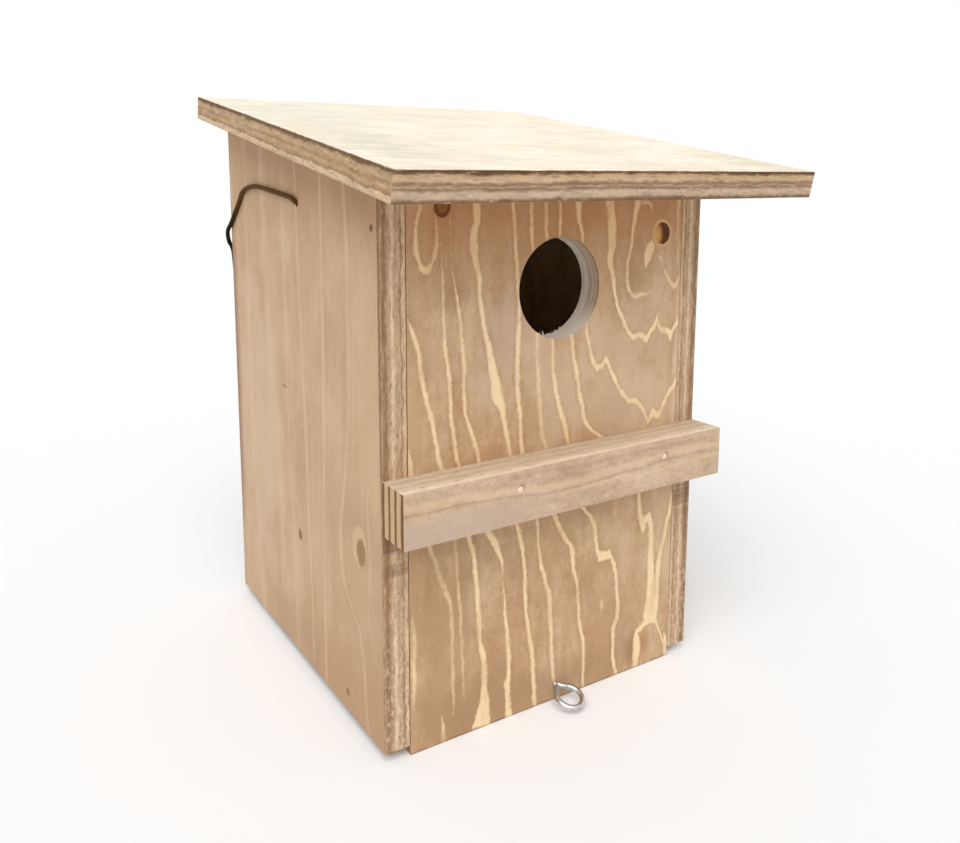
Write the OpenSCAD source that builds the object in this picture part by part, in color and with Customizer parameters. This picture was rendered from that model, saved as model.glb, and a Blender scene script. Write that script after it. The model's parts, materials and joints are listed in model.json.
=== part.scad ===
// Nest box in plywood with a sloped roof. The front hangs on two nails near
// its top and swings out from the bottom for cleaning. A bar across the front
// laps over both sides and stops it when it closes. A bent wire hangs the box.
// Millimetres, +Z up, front towards -Y, floor level at Z = 0.

/* [Box] */
// Width over the two sides
box_w = 180; // [130:1:260]
// Depth of the sides, from their front edges to their back edges
box_d = 185; // [140:1:260]
// Height of the sides at their front edges
side_front_h = 243; // [190:1:340]
// Slope of the roof in degrees, falling to the front
roof_angle = 11.3; // [4:0.1:20]
// Thickness of the plywood boards
board_t = 12; // [9:0.5:18]
// How far the front and back hang below the sides
panel_drop = 4.5; // [2:0.5:10]

/* [Roof] */
// Overhang of the roof at the front, square to the front
roof_front = 43.5; // [20:0.5:80]
// Mean overhang of the roof at each side
roof_side = 21.5; // [10:0.5:50]
// How far the roof sits to the right of the box's middle
roof_shift = 5; // [0:0.5:8]

/* [Front] */
// Gap between the front and each side
side_gap = 0.4; // [0.3:0.1:3]
// Gap between the top of the front and the roof, at the front face
top_gap = 7; // [6:0.5:14]
// Gap between the front and the floor behind it
floor_gap = 1; // [0.5:0.1:3]
// Height of the pivot nails above the bottom of the front, taken down from its top
pivot_below_top = 11; // [8:0.5:25]
// Diameter of the entrance hole
hole_d = 46; // [26:1:60]
// Depth of the entrance hole's middle below the top of the front
hole_below_top = 40.5; // [36:0.5:90]
// How far the entrance hole sits to the right of the middle
hole_shift = 1.8; // [-5:0.1:5]

/* [Landing bar] */
// Thickness of the bar, out from the front
bar_t = 18; // [9:0.5:25]
// Height of the bar
bar_h = 23.5; // [15:0.5:40]
// Height of the bar's underside above the bottom of the front
bar_z = 103; // [40:1:130]

/* [Screw eye] */
// Diameter of the eye's wire
eye_wire_d = 2.6; // [1.8:0.1:3.4]
// Outer diameter of the eye
eye_d = 15.2; // [12:0.1:24]
// Diameter of the shank
eye_shank_d = 2.4; // [1.6:0.1:3.2]
// Length of the shank inside the front
eye_depth = 9; // [6:0.5:9]
// Height of the shank above the bottom of the front
eye_z = 8; // [5:0.5:20]
// How far the shank sits to the right of the middle
eye_shift = 2.1; // [-10:0.1:10]
// Gap between the front's face and the ring
eye_gap = 1.8; // [0.5:0.1:6]
// Turn of the eye about its shank, in degrees from lying flat
eye_turn = 3; // [0:1:90]
// Lean of the eye downwards, in degrees from square to the front
eye_droop = 17; // [0:1:20]
// Lean of the eye to the right, in degrees from square to the front
eye_lean = 13; // [-20:1:20]

/* [Pivot nails] */
// Diameter of a nail's shank
nail_d = 1.8; // [1.6:0.1:3.4]
// Length of a nail
nail_l = 38; // [25:1:45]
// Diameter of a nail's head
nail_head_d = 2.2; // [2:0.1:6]
// Thickness of a nail's head, sunk flush into the side
nail_head_t = 1.2; // [0.8:0.1:2]
// Play between a nail and the front that turns on it
nail_play = 0.2; // [0.05:0.05:0.4]

/* [Hanging wire] */
// Diameter of the coated wire
wire_d = 2.4; // [1.6:0.1:3.4]
// Play of the wire in its holes
wire_play = 0.6; // [0.3:0.1:1.2]
// Distance of the wire's holes from the back edge of the sides
wire_hole_back = 101.5; // [90:0.5:125]
// Depth of the wire's holes below the roof
wire_hole_down = 26; // [22:0.5:60]
// How far the loop hangs down behind the back, below the wire's holes
wire_loop_h = 109; // [90:1:130]
// Length of the wire's bent end inside the box
wire_end = 9; // [5:0.5:14]

/* [Hidden] */
$fn = 64;
eps = 1;

// heights above the floor
slope = tan(roof_angle);
side_z = panel_drop;
seat_front_z = side_z + side_front_h;
function seat_z(y) = seat_front_z + y * slope;
front_top = seat_front_z - top_gap;
pivot_z = front_top - pivot_below_top;
pivot_y = board_t / 2;
hole_z = front_top - hole_below_top;
inner_w = box_w - 2 * board_t;
front_w = inner_w - 2 * side_gap;
wire_hole_y = box_d - wire_hole_back;
wire_hole_z = seat_z(wire_hole_y) - wire_hole_down;
wire_r = wire_d / 2;
wire_off = wire_r + 0.2;
nail_bore_depth = nail_l - board_t - side_gap + 1.5;

// the box's middle and front plane, with the origin under the middle of the whole
wire_out = 5.5 + wire_r;
mid_x = -roof_shift;
front_y = -(box_d + wire_out - roof_front) / 2;

// colours
front_col = "#bd9770";
side_col = "#cdab85";
roof_col = "#e6d6b4";
inner_col = "#b8946c";
zinc_col = "#c9ccd0";
nail_col = "#8f8a82";
wire_col = "#2b2018";

// puts a piece drawn from the middle of the front plane in its place
module place() {
    translate([mid_x, front_y, 0]) children();
}

// a board that stands across the depth: outline in Y and Z, thickness along X from x0
module upright(x0, t, outline) {
    translate([x0, 0, 0])
        rotate([90, 0, 90])
            linear_extrude(t) polygon(outline);
}

// side outline, its top cut to the roof's slope
function side_outline() = [
    [0, side_z],
    [box_d, side_z],
    [box_d, seat_z(box_d)],
    [0, seat_z(0)]
];

// holes through a side: pivot nail with its head's recess, and wire
module side_holes(s) {
    outer = s * box_w / 2;
    translate([outer, pivot_y, pivot_z]) rotate([0, -s * 90, 0]) {
        translate([0, 0, -eps]) cylinder(d = nail_d, h = board_t + 2 * eps);
        translate([0, 0, -eps]) cylinder(d = nail_head_d, h = nail_head_t + eps);
    }
    translate([outer, wire_hole_y, wire_hole_z]) rotate([0, -s * 90, 0])
        translate([0, 0, -eps]) cylinder(d = wire_d + wire_play, h = board_t + 2 * eps);
}

module left_side() {
    color(side_col) place() difference() {
        upright(-box_w / 2, board_t, side_outline());
        side_holes(-1);
    }
}

module right_side() {
    color(side_col) place() difference() {
        upright(box_w / 2 - board_t, board_t, side_outline());
        side_holes(1);
    }
}

module back_panel() {
    y = box_d - board_t;
    color(inner_col) place()
        upright(-inner_w / 2, inner_w, [[y, 0], [box_d, 0], [box_d, seat_z(box_d)], [y, seat_z(y)]]);
}

module floor_panel() {
    y = board_t + floor_gap;
    color(inner_col) place()
        translate([-inner_w / 2, y, side_z]) cube([inner_w, box_d - board_t - y, board_t]);
}

// square-cut board lying on the slope
module roof_panel() {
    w = box_w + 2 * roof_side;
    slant = (box_d + roof_front) / cos(roof_angle);
    top_z = seat_z(-roof_front) + board_t / cos(roof_angle);
    color(roof_col) place()
        translate([roof_shift - w / 2, -roof_front, top_z])
            rotate([roof_angle, 0, 0])
                translate([0, 0, -board_t]) cube([w, slant, board_t]);
}

module front_panel() {
    color(front_col) place() difference() {
        translate([-front_w / 2, 0, 0]) cube([front_w, board_t, front_top]);
        translate([hole_shift, -eps, hole_z]) rotate([-90, 0, 0])
            cylinder(d = hole_d, h = board_t + 2 * eps);
        for (s = [-1, 1])
            translate([s * (front_w / 2 + eps), pivot_y, pivot_z]) rotate([0, -s * 90, 0])
                cylinder(d = nail_d + nail_play, h = nail_bore_depth + eps);
        place_eye() rotate([-90, 0, 0]) translate([0, 0, -eye_gap])
            cylinder(d = eye_shank_d, h = eye_depth + eye_gap);
    }
}

module landing_bar() {
    color(front_col) place()
        translate([-box_w / 2, -bar_t, bar_z]) cube([box_w, bar_t, bar_h]);
}

// moves what points along -Y from the origin to the eye's place and lean
module place_eye() {
    translate([eye_shift, 0, eye_z])
        rotate([eye_droop, 0, eye_lean]) rotate([0, -eye_turn, 0]) children();
}

// eye of bent wire: the ring closes on itself just short of the shank
module screw_eye() {
    ring_r = (eye_d - eye_wire_d) / 2;
    stand_off = eye_wire_d / 2 + eye_gap;
    color(zinc_col) place()
        place_eye() {
            translate([0, -stand_off - ring_r, 0]) rotate([0, 0, 90])
                rotate_extrude(angle = 335) translate([ring_r, 0]) circle(d = eye_wire_d);
            rotate([90, 0, 0]) translate([0, 0, -eye_depth])
                cylinder(d = eye_shank_d, h = eye_depth + stand_off);
        }
}

// round nail with a flat head, along +Z from the head's outer face
module nail() {
    cylinder(d = nail_head_d, h = nail_head_t);
    cylinder(d = nail_d, h = nail_l);
}

module pivot_nail(s) {
    color(nail_col) place()
        translate([s * box_w / 2, pivot_y, pivot_z]) rotate([0, -s * 90, 0]) nail();
}

// Half of the wire's route, on the left, as [out of the side's face, behind the back edge,
// above the hole]: the bent end, the arch along the side, the bend past the back edge.
arch = [
    [-board_t - wire_off, -wire_hole_back, -wire_end],
    [-board_t - wire_off, -wire_hole_back, -2.4],
    [-board_t - 0.4, -wire_hole_back, -0.5],
    [-board_t + 2, -wire_hole_back, 0],
    [-2.5, -wire_hole_back, 0],
    [0, -wire_hole_back, 0.6],
    [wire_off, -wire_hole_back + 1.2, 2],
    [wire_off, -wire_hole_back + 6, 3.2],
    [wire_off, -77, 5.5],
    [wire_off, -55, 8],
    [wire_off, -43, 8.6],
    [wire_off, -32, 7.4],
    [wire_off, -25, 5],
    [wire_off, -20, 0.5],
    [wire_off, -11, -6.6],
    [wire_off, -4, -12],
    [wire_off, 2.2, -16],
    [0.8, 5.2, -19.2],
    [0, 5.3, -23.5],
    [-2, 5, -28.7]
];
// the loop behind the back, as a share of the way down and in
loop_steps = 9;
function loop_point(i) =
    let (a = 90 * i / loop_steps,
         down = wire_loop_h - 28.7,
         out = max(wire_off, 5 - 6 * sin(a)))
    [-2 - (box_w / 2 - 2) * (1 - pow(cos(a), 0.8)), out, -28.7 - down * pow(sin(a), 0.9)];
function left_route() = concat(arch, [for (i = [1:loop_steps]) loop_point(i)]);
function to_xyz(p, s) = [s * (box_w / 2 + p[0]), box_d + p[1], wire_hole_z + p[2]];
function wire_points() =
    let (h = left_route(), n = len(h))
    concat([for (i = [0:n - 1]) to_xyz(h[i], -1)], [for (i = [n - 2:-1:0]) to_xyz(h[i], 1)]);

// smooth curve through the points, and a round tube carried along it
function catmull(a, b, c, d, t) =
    0.5 * (2 * b + (c - a) * t + (2 * a - 5 * b + 4 * c - d) * t * t + (3 * b - a - 3 * c + d) * t * t * t);
function smooth(p, m) =
    let (n = len(p))
    concat([for (i = [0:n - 2], j = [0:m - 1])
        catmull(p[max(i - 1, 0)], p[i], p[i + 1], p[min(i + 2, n - 1)], j / m)], [p[n - 1]]);
function unit(v) = v / norm(v);
function tangents(p) =
    let (n = len(p)) [for (i = [0:n - 1]) unit(p[min(i + 1, n - 1)] - p[max(i - 1, 0)])];
function carried(v, t) = unit(v - (v * t) * t);
function normals(t, v0) = [for (i = 0, v = carried(v0, t[0]); i < len(t);
    i = i + 1, v = i < len(t) ? carried(v, t[i]) : v) v];
module tube(p, r, sides, v0) {
    t = tangents(p);
    n = normals(t, v0);
    rings = len(p);
    rc = r / cos(180 / sides);
    points = [for (i = [0:rings - 1], k = [0:sides - 1])
        let (a = 360 * (k + 0.5) / sides) p[i] + rc * (cos(a) * n[i] + sin(a) * cross(t[i], n[i]))];
    walls = [for (i = [0:rings - 2], k = [0:sides - 1])
        let (q = (k + 1) % sides)
        [i * sides + k, (i + 1) * sides + k, (i + 1) * sides + q, i * sides + q]];
    ends = [[for (k = [0:sides - 1]) k], [for (k = [sides - 1:-1:0]) (rings - 1) * sides + k]];
    polyhedron(points, concat(walls, ends), convexity = 10);
}

module hanging_wire() {
    color(wire_col) place() tube(smooth(wire_points(), 2), wire_r, 8, [1, 0, 0]);
}

left_side();
right_side();
back_panel();
floor_panel();
roof_panel();
front_panel();
landing_bar();
screw_eye();
pivot_nail(-1);  // pivot_nail_left
pivot_nail(1);  // pivot_nail_right
hanging_wire();
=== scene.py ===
import json
import math
import random

import bpy
from mathutils import Matrix, Vector

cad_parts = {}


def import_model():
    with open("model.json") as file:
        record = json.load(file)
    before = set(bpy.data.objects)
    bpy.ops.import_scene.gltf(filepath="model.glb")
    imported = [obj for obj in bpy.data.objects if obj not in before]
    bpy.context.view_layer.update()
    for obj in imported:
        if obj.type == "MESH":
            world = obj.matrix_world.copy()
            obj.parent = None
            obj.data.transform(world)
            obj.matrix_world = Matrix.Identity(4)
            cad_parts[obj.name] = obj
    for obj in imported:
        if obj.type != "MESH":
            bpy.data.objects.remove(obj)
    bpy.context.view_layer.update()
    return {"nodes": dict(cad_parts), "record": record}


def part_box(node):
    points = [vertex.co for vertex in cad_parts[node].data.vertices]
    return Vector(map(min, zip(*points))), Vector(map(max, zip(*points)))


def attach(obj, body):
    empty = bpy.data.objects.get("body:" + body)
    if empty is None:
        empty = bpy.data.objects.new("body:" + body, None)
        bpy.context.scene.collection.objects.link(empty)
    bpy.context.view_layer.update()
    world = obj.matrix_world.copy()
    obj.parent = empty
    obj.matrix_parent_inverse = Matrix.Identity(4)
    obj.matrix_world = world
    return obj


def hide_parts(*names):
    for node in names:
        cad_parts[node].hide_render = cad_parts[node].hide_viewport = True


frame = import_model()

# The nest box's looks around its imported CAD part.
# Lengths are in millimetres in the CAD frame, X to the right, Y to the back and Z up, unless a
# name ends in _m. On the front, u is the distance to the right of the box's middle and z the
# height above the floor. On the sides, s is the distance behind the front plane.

MM = 0.001


def mm_box(node):
    lo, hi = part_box(node)
    return lo / MM, hi / MM


LEFT = mm_box("left_side")
RIGHT = mm_box("right_side")
FRONT = mm_box("front_panel")
BACK = mm_box("back_panel")
ROOF = mm_box("roof_panel")
BAR = mm_box("landing_bar")
WIRE = mm_box("hanging_wire")
MID = (LEFT[0].x + RIGHT[1].x) / 2
FACE = FRONT[0].y
SIDE_D = LEFT[1].y - LEFT[0].y
PLY = FRONT[1].y - FRONT[0].y
MOUNTS = {m["name"]: m for m in frame["record"]["mounts"]}
HOLE = Vector(MOUNTS["entrance_hole"]["pos_m"]) / MM
HOLE_R = MOUNTS["entrance_hole"]["dims"]["r_mm"]
PIVOT = Vector(frame["record"]["behaviour"]["joints"][0]["pos_m"]) / MM


# ---------------------------------------------------------------- shader building


def rgb(r, g, b):
    """A colour as it looks on a screen, 0 to 255, turned into the shader's linear values."""
    lin = [c / 12.92 if c <= 0.04045 else ((c + 0.055) / 1.055) ** 2.4
           for c in (r / 255, g / 255, b / 255)]
    return (*lin, 1)


class Val:
    """A number in a shader. + - * / with numbers or other values make Math nodes."""

    def __init__(self, tree, socket):
        self.tree = tree
        self.socket = socket

    def _op(self, kind, *others):
        return self.tree.math(kind, self, *others)

    def __add__(self, o): return self._op("ADD", o)
    def __radd__(self, o): return self._op("ADD", o)
    def __sub__(self, o): return self._op("SUBTRACT", o)
    def __rsub__(self, o): return self.tree.math("SUBTRACT", o, self)
    def __mul__(self, o): return self._op("MULTIPLY", o)
    def __truediv__(self, o): return self._op("DIVIDE", o)
    def __neg__(self): return self._op("MULTIPLY", -1)
    def abs(self): return self._op("ABSOLUTE")
    def max(self, o): return self._op("MAXIMUM", o)
    def min(self, o): return self._op("MINIMUM", o)
    def sqrt(self): return self._op("SQRT")

    def step(self, lo, hi):
        """0 below lo, 1 above hi and smooth between; lo may be the larger."""
        t = self.tree
        node = t.node("MapRange", interpolation_type="SMOOTHSTEP")
        t.feed(node.inputs[0], self)
        if lo < hi:
            ends = (lo, hi, 0, 1)
        else:
            ends = (hi, lo, 1, 0)
        for k, value in enumerate(ends):
            node.inputs[1 + k].default_value = value
        return Val(t, node.outputs[0])

    def faces(self):
        """1 where this part of the normal lies along its axis and 0 where it lies across."""
        return self.step(0.6, 0.8)


class Tree:
    """A material and short calls that build its nodes."""

    def __init__(self, name):
        self.material = bpy.data.materials.new(name)
        self.material.use_nodes = True
        self.nodes = self.material.node_tree.nodes
        self.links = self.material.node_tree.links
        self.nodes.clear()
        where = self.node("TexCoord")
        self.x, self.y, self.z = [v * (1 / MM) for v in self.split(where.outputs["Object"])]
        self.nx, self.ny, self.nz = self.split(where.outputs["Normal"])

    def node(self, kind, **props):
        node = self.nodes.new("ShaderNode" + kind)
        for key, value in props.items():
            setattr(node, key, value)
        return node

    def feed(self, socket, value):
        if isinstance(value, Val):
            value = value.socket
        if isinstance(value, bpy.types.NodeSocket):
            self.links.new(value, socket)
        else:
            socket.default_value = value

    def math(self, kind, *args):
        node = self.node("Math", operation=kind)
        for socket, value in zip(node.inputs, args):
            self.feed(socket, value)
        return Val(self, node.outputs[0])

    def split(self, vector):
        node = self.node("SeparateXYZ")
        self.feed(node.inputs[0], vector)
        return [Val(self, o) for o in node.outputs]

    def vec(self, x, y, z):
        node = self.node("CombineXYZ")
        for socket, value in zip(node.inputs, (x, y, z)):
            self.feed(socket, value)
        return node.outputs[0]

    def noise(self, x, y, z, detail=2, rough=0.5, seed=0):
        """Smooth noise, 0 to 1 about a middle of 0.5. The inputs are in noise periods."""
        node = self.node("TexNoise", noise_dimensions="3D")
        shifted = (x + 7.3 * seed, y + 3.1 * seed, z - 5.7 * seed)
        self.feed(node.inputs["Vector"], self.vec(*shifted))
        node.inputs["Scale"].default_value = 1
        node.inputs["Detail"].default_value = detail
        node.inputs["Roughness"].default_value = rough
        return Val(self, node.outputs[0])

    def ramp(self, value, stops):
        node = self.node("ValToRGB")
        elements = node.color_ramp.elements
        while len(elements) < len(stops):
            elements.new(0.5)
        for element, (place, colour) in zip(elements, stops):
            element.position = place
            element.color = colour
        self.feed(node.inputs[0], value)
        return node.outputs[0]

    def mix(self, share, a, b):
        node = self.node("Mix", data_type="RGBA", clamp_factor=True)
        self.feed(node.inputs[0], share)
        self.feed(node.inputs[6], a)
        self.feed(node.inputs[7], b)
        return node.outputs[2]

    def shade(self, colour, amount):
        """The colour times amount, a value about 1."""
        node = self.node("VectorMath", operation="SCALE")
        self.feed(node.inputs[0], colour[:3] if isinstance(colour, tuple) else colour)
        self.feed(node.inputs["Scale"], amount)
        return node.outputs[0]

    def curve(self, value, points, smooth=False):
        """A curve through the given points (value, result), held level past both ends."""
        node = self.node("FloatCurve")
        mapping = node.mapping
        mapping.use_clip = False
        mapping.extend = "HORIZONTAL"
        line = mapping.curves[0]
        line.points[0].location = points[0]
        line.points[1].location = points[-1]
        for p in points[1:-1]:
            line.points.new(*p)
        for p in line.points:
            p.handle_type = "AUTO_CLAMPED" if smooth else "VECTOR"
        mapping.update()
        self.feed(node.inputs["Value"], value)
        return Val(self, node.outputs[0])

    def finish(self, colour, roughness, height, specular=0.35, metallic=0, eased=0):
        """Ends the material in one shader. height and eased, the edges' radius, are in mm."""
        shader = self.node("BsdfPrincipled")
        self.feed(shader.inputs["Base Color"], colour)
        self.feed(shader.inputs["Roughness"], roughness)
        shader.inputs["Specular IOR Level"].default_value = specular
        shader.inputs["Metallic"].default_value = metallic
        bump = self.node("Bump")
        bump.inputs["Strength"].default_value = 1
        bump.inputs["Distance"].default_value = MM
        self.feed(bump.inputs["Height"], height)
        if eased:
            ease = self.node("Bevel", samples=4)
            ease.inputs["Radius"].default_value = eased * MM
            self.links.new(ease.outputs[0], bump.inputs["Normal"])
        self.links.new(bump.outputs[0], shader.inputs["Normal"])
        out = self.node("OutputMaterial")
        self.links.new(shader.outputs[0], out.inputs[0])
        return self.material


# ---------------------------------------------------------------- grain

RUN_ON = 12  # how far a line that leaves the seen face runs on
GONE = -3  # half width of a line past its end


def steepness(points, i):
    """Mean length of the two pieces of a line beside point i, per step along it."""
    found = []
    for a, b in ((i - 1, i), (i, i + 1)):
        if 0 <= a and b < len(points):
            along = points[b][0] - points[a][0]
            across = points[b][1] - points[a][1]
            found.append(math.hypot(along, across) / max(abs(along), 1e-6))
    return min(sum(found) / len(found), 5)


def grain_line(t, along, across, points, smooth):
    """How far inside a grain line a place lies. points are (along, across, width)."""
    points = sorted(points)
    centre = [(a, c) for a, c, w in points]
    half = [(a, w / 2 * steepness(points, i) if w > 0 else -0.35)
            for i, (a, c, w) in enumerate(points)]
    for end, inner, sign in ((0, 1, -1), (-1, -2, 1)):
        a, c, w = points[end]
        slope = (c - points[inner][1]) / (a - points[inner][0])
        slope = max(-1, min(1, slope))
        run = RUN_ON if w > 0 else 0.5
        beyond = a + sign * run
        more_centre = [(beyond, c + slope * sign * run)]
        more_half = [(beyond, half[end][1]), (beyond + sign * 1.5, GONE)]
        if sign < 0:
            centre = more_centre + centre
            half = more_half[::-1] + half
        else:
            centre = centre + more_centre
            half = half + more_half
    return t.curve(along, half) - (across - t.curve(along, centre, smooth)).abs()


def grain_lines(t, along, across, upright, level=()):
    """The deepest of several grain lines, upright ones and ones that run across."""
    fields = [grain_line(t, along, across, [(z, u, w) for u, z, w in points], True)
              for points in upright]
    fields += [grain_line(t, across, along, points, False) for points in level]
    deepest = fields[0]
    for field in fields[1:]:
        deepest = deepest.max(field)
    return deepest


def knot(along, across, centre, size):
    """Distance from a knot's centre, 1 at its rim; size is its width and its height."""
    a = (across - centre[0]) * (2 / size[0])
    b = (along - centre[1]) * (2 / size[1])
    return (a * a + b * b).sqrt()


# Grain lines of the front's face as (u, z, width), those that run up and those that run across.
FRONT_UP = [
    [(-15, 236, 1.4), (-14.6, 224, 1.3), (-14, 212, 0)],
    [(-6.9, 236, 1.3), (-6.5, 224, 1.2), (-6.3, 218, 0)],
    [(1.2, 238, 1.2), (1.2, 226, 1.1), (1, 220, 0)],
    [(-71.2, 237, 0.9), (-73, 227, 1.2), (-73, 220, 1.6), (-72.2, 216, 1.6), (-71.2, 214, 0)],
    [(-63.8, 235, 0), (-63, 226, 0.7), (-63.5, 220, 1.4), (-64.7, 216, 1.6), (-65.8, 214, 0)],
    [(-61, 224, 0), (-60.6, 207, 0.2), (-60, 192, 0.6), (-59.4, 180, 1), (-57.2, 165, 1.3),
     (-56.5, 152, 1.4), (-55.2, 140, 1.4), (-53.7, 131, 1.6), (-52.2, 126, 1.4)],
    [(-77, 193, 0), (-74.4, 185, 1.9), (-72.5, 180, 1.6), (-71.2, 170, 1.3), (-69.4, 160, 1.7),
     (-66.2, 150, 1.6), (-64.4, 140, 1.4), (-62.5, 131, 1.8), (-61.5, 127, 1.6)],
    [(-77.2, 138, 0), (-76.6, 133, 1.6), (-76.2, 127, 2.2)],
    [(-56.5, 235, 0), (-56, 215, 0), (-53.8, 202, 0.4), (-52, 190, 0.9), (-51, 180, 1.2),
     (-50, 170, 1.3), (-50, 160, 1.2), (-48.5, 147, 1.3), (-46, 140, 1.3), (-43, 131, 1.4),
     (-42, 127, 1.2)],
    [(-43.8, 237.5, 3), (-43.2, 232, 2.6), (-45, 226, 3.4), (-45, 219, 3.4), (-42.8, 210, 2),
     (-41.9, 200, 1.6), (-40.4, 190, 1.7), (-38, 180, 1.9), (-36.2, 172, 2.7), (-33.8, 162, 4.6),
     (-32.5, 154, 5), (-31, 151, 4), (-30, 149, 2.6), (-28, 140, 2), (-26.2, 131, 1.6),
     (-25.4, 127, 1.5)],
    [(-24.4, 236, 1.4), (-23.8, 227, 1.4), (-22.8, 215, 1.2), (-21.9, 205, 1.2), (-20.9, 190, 1.4),
     (-21.5, 177, 1.6), (-21.9, 165, 2.1), (-21, 152, 1.8), (-20, 142, 1.4), (-19.2, 132, 1.6),
     (-18.5, 127, 1.6)],
    [(11.5, 237, 3), (11.9, 230, 1.8), (13.5, 226, 1.3), (14.4, 221, 1), (14.8, 219, 0)],
    [(-2.1, 177, 1.4), (-1.8, 165, 1.1), (-0.2, 155, 1.5), (1.9, 147, 1.6), (4.4, 140, 2.4),
     (6.2, 134, 2), (8.1, 127, 1.4)],
    [(9.1, 177, 1.4), (10.6, 167, 1.3), (12.2, 160, 1.7), (13.8, 152, 1.5), (15.6, 145, 1.8),
     (18.1, 136, 1.5), (22.5, 131, 1.7), (28.1, 127, 1.5)],
    [(17.3, 186, 1), (18.5, 175, 1.2), (20.6, 169, 1.4), (22.6, 163.5, 2), (24.2, 160.6, 0)],
    [(30.6, 237.5, 4), (31.9, 227, 4.6), (32.4, 218, 4), (31.4, 211, 2.8), (33.1, 204, 1.7),
     (35, 195, 1.6), (36.9, 189, 1.5), (39.4, 184, 1.7), (42.4, 178.6, 1.6), (44.4, 175.6, 0)],
    [(62.4, 178, 0), (62.6, 180.6, 1.2), (62.8, 185.6, 0)],
    [(47.4, 236, 3.4), (46.4, 231, 2.2), (45.4, 226, 1.6), (44.4, 217, 1.1), (42.4, 209, 1),
     (42.5, 200, 1), (44, 196, 1.2), (46, 194, 0)],
    [(54.5, 205.6, 0), (55, 208.5, 2.4), (55.4, 212, 4.4), (56.4, 215, 5), (57.2, 217.6, 4.2),
     (57.6, 219.2, 0)],
    [(-46.9, 92, 1.8), (-44.8, 84, 1.6), (-43.8, 75, 2), (-42.8, 65, 1.6), (-41.9, 52, 1.7),
     (-41.2, 42, 1.6), (-39.4, 34, 2.4), (-38.8, 22, 2.4), (-38.6, 15, 3.8), (-39.4, 9, 6.4),
     (-40.4, 2, 9)],
    [(-36.2, 92, 2.8), (-33.4, 87, 2.6), (-31.2, 82, 2), (-30, 79, 1.3), (-29, 70, 0), (-28, 60, 0.4),
     (-27.5, 52, 1.3), (-26, 40, 1.8), (-25.2, 27, 1.6), (-25.2, 20, 2.2), (-26, 17.5, 3.2),
     (-25.4, 10, 2.3), (-25, 2, 3.4)],
    [(-20.6, 91, 1.6), (-18.8, 85, 1.6), (-17.2, 77, 1.5), (-16.5, 70, 1.4), (-16, 60, 1.9),
     (-15.4, 50, 1.4), (-14, 40, 1.5), (-12.5, 32, 2.1), (-11.2, 22, 1.5), (-10.6, 12, 1.9),
     (-10, 2, 2)],
    [(-9.4, 91, 0.7), (-8.5, 80, 0.8), (-6.9, 70, 1.2), (-3.8, 61, 1.6), (-1.9, 54, 2.2), (-1, 45, 1.9),
     (-0.5, 35, 1.6), (0.2, 22, 1.4), (1.4, 12, 1.5), (2.4, 7, 0)],
    [(1.2, 92, 1.8), (4.4, 85.6, 1.7), (6.9, 81, 2.3), (8.6, 78.6, 1.6), (10.6, 76, 1.6),
     (11.9, 71, 1.9), (12.8, 64, 1.6), (15, 56, 1.4), (16, 47, 1.3), (16.5, 40, 1.2), (17.8, 32, 1.3),
     (19.8, 25, 1.5), (20.2, 15, 1.3), (20.2, 4, 1.1)],
    [(20, 91, 1.4), (23, 88, 1.4), (25.6, 81, 1.8), (26.9, 72, 1.6), (28, 67.4, 1.8), (29.2, 66, 0)],
    [(36, 66.6, 0), (38.1, 61, 1.8), (40, 54, 1.7), (41.2, 46, 1.4), (41.9, 37, 1.9), (41.6, 31, 1.8),
     (39.6, 26, 2), (39.4, 17, 1.4), (40.2, 7, 1.8), (41.9, 2, 1.4)],
    [(54.4, 91, 1.6), (55, 85, 2.2), (56.6, 79, 3.4), (57.6, 75, 2.8), (57.8, 70.6, 0)],
    [(61.8, 81.6, 0), (62.9, 77, 2.4), (63.5, 70, 2.8), (64, 55, 3.6), (64.6, 44, 4.6), (64.2, 32, 6),
     (64.4, 25, 8), (64.6, 21.4, 0)],
    [(78.8, 92, 1.6), (76.9, 82, 2.3), (73.8, 72, 1.7), (72.5, 65, 2), (70.6, 59, 2), (69.4, 50, 2.6),
     (69, 40, 3), (68.2, 30, 3.4), (66.6, 23, 5), (66, 21, 0)],
    [(55.6, 20.4, 0), (55.4, 16, 4.4), (55.8, 9, 4.2), (55.2, 2, 3.2)],
    [(75.2, 13.6, 0), (76, 9.8, 2.4), (76.6, 3, 2.2)],
]
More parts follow.
